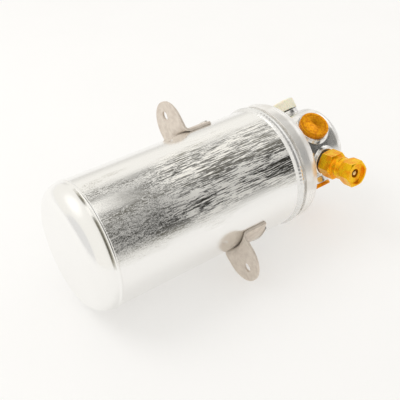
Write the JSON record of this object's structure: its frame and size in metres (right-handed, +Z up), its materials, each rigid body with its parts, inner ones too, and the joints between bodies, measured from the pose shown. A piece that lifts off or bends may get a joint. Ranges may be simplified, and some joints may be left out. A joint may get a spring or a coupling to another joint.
{
  "type": "receiver-drier",
  "caption": "Sealed aluminium receiver-drier can lying on its side, with a welded dome and ported head, gold plugs, a sprung service port, a rear cap and two bent mounting tabs.",
  "frame": {"origin": "centre of the can's flat closed end, on the can's axis", "axes": "+X along the can's axis towards the head, +Z up with the can lying on its side"},
  "size_m": [0.189, 0.1042, 0.0846],
  "materials": {
    "can": "drawn and polished, with fine streaks along the can",
    "dome": "polished",
    "weld": "bright weld bead",
    "head": "machined and polished",
    "plug": "amber chromate over turned metal",
    "fitting": "turned, golden chromate",
    "core": "turned",
    "pin": "bright",
    "seal": "smooth",
    "core_seal": "smooth",
    "spring": "drawn wire",
    "cap": "satin moulded",
    "tab": "dull plated sheet",
    "tube": "drawn",
    "screen": "fine woven",
    "plate": "pressed sheet",
    "felt": "felted fibre",
    "desiccant": "bonded beads"
  },
  "bodies": {
    "can": {"can_shell": "can", "dome_head": "dome", "girth_weld": "weld", "head_block": "head", "head_weld": "weld", "service_port": "fitting", "port_gasket": "seal", "valve_core": "core", "core_seal": "core_seal", "pin_spring": "spring", "rear_stub": "head", "stub_gasket": "seal", "upper_tab": "tab", "lower_tab": "tab", "tab_welds": "weld", "pickup_tube": "tube", "tube_oring": "seal", "pickup_screen": "screen", "tube_clip": "spring", "lower_plate": "plate", "lower_pad": "felt", "desiccant_bed": "desiccant", "upper_pad": "felt", "upper_plate": "plate", "bed_spring": "spring"},
    "valve_pin": {"valve_pin": "pin", "poppet_seal": "seal"},
    "inlet_plug": {"inlet_plug": "plug", "inlet_oring": "seal"},
    "outlet_plug": {"outlet_plug": "plug", "outlet_oring": "seal"},
    "rear_cap": {"rear_cap": "cap"}
  },
  "joints": [
    {"name": "valve_press", "type": "slide", "parent": "can", "child": "valve_pin", "axis": [0, 0.9781, -0.2079], "range_m": [0, 0.0015], "stiffness_N_per_m": 3000, "springref_m": -0.001, "deforming": ["pin_spring"]},
    {"name": "inlet_plug_pull", "type": "slide", "parent": "can", "child": "inlet_plug", "axis": [0, -0.4067, 0.9135], "range_m": [0, 0.014]},
    {"name": "outlet_plug_pull", "type": "slide", "parent": "can", "child": "outlet_plug", "axis": [0, -0.7431, -0.6691], "range_m": [0, 0.012]},
    {"name": "rear_cap_pull", "type": "slide", "parent": "can", "child": "rear_cap", "axis": [0, 0.7431, 0.6691], "range_m": [0, 0.01]}
  ]
}
